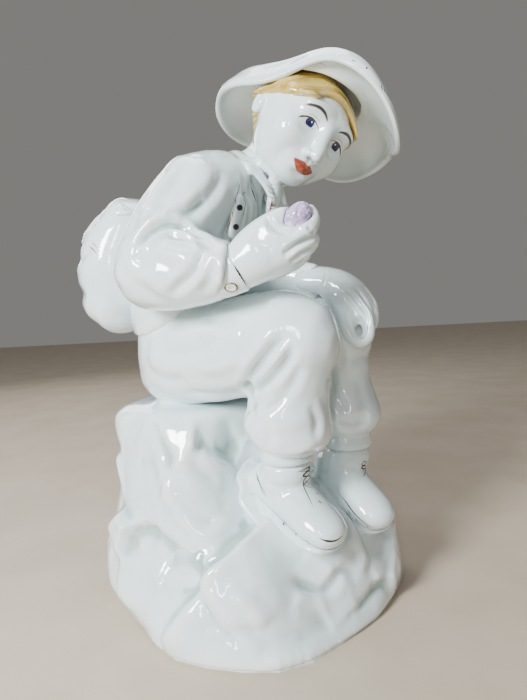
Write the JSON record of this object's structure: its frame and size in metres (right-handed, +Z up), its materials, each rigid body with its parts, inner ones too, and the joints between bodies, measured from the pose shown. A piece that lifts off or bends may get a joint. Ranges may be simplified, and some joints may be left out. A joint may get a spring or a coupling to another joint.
{
  "type": "porcelain figurine",
  "caption": "Glazed porcelain figurine of a seated young rambler in a wide hat with a rucksack, studying a lilac crystal on a tall rock.",
  "frame": {"origin": "middle of the rock's flat foot, on the surface it stands on", "axes": "+Z up; -Y is the display front; the boots point towards +X and -Y, the rucksack is at -X"},
  "size_m": [0.1935, 0.1592, 0.2923],
  "materials": {
    "white_glaze": "bluish white porcelain under a thick clear glaze, with a few thin brown and gold painted lines",
    "face_glaze": "white porcelain under clear glaze, with overglaze painted brows, blue eyes and coral lips",
    "straw_glaze": "straw-yellow overglaze enamel, brushed, glossy",
    "lilac_glaze": "lilac overglaze enamel, thin at the edges, glossy",
    "brown_gold_enamel": "brown enamel and worn gold lustre on small raised details"
  },
  "bodies": {
    "root": {"foot_plate": "white_glaze", "rock_shell": "white_glaze", "trousers_seat": "white_glaze", "right_thigh": "white_glaze", "left_thigh": "white_glaze", "right_trouser_leg": "white_glaze", "left_trouser_leg": "white_glaze", "right_sock": "white_glaze", "left_sock": "white_glaze", "right_boot": "white_glaze", "left_boot": "white_glaze", "right_boot_sole": "white_glaze", "left_boot_sole": "white_glaze", "shirt_body": "white_glaze", "shirt_collar": "white_glaze", "neck_scarf": "white_glaze", "right_upper_sleeve": "white_glaze", "right_forearm_sleeve": "white_glaze", "right_cuff": "white_glaze", "left_upper_sleeve": "white_glaze", "left_forearm_sleeve": "white_glaze", "left_cuff": "white_glaze", "right_hand": "white_glaze", "left_hand": "white_glaze", "crystal": "lilac_glaze", "head": "face_glaze", "hair": "straw_glaze", "hat_crown": "white_glaze", "hat_brim": "white_glaze", "rucksack_bag": "white_glaze", "rucksack_flap": "white_glaze", "rucksack_straps": "white_glaze", "strap_end": "white_glaze", "strap_rivets": "brown_gold_enamel", "rucksack_buckles": "brown_gold_enamel", "cuff_button": "brown_gold_enamel"}
  },
  "joints": []
}
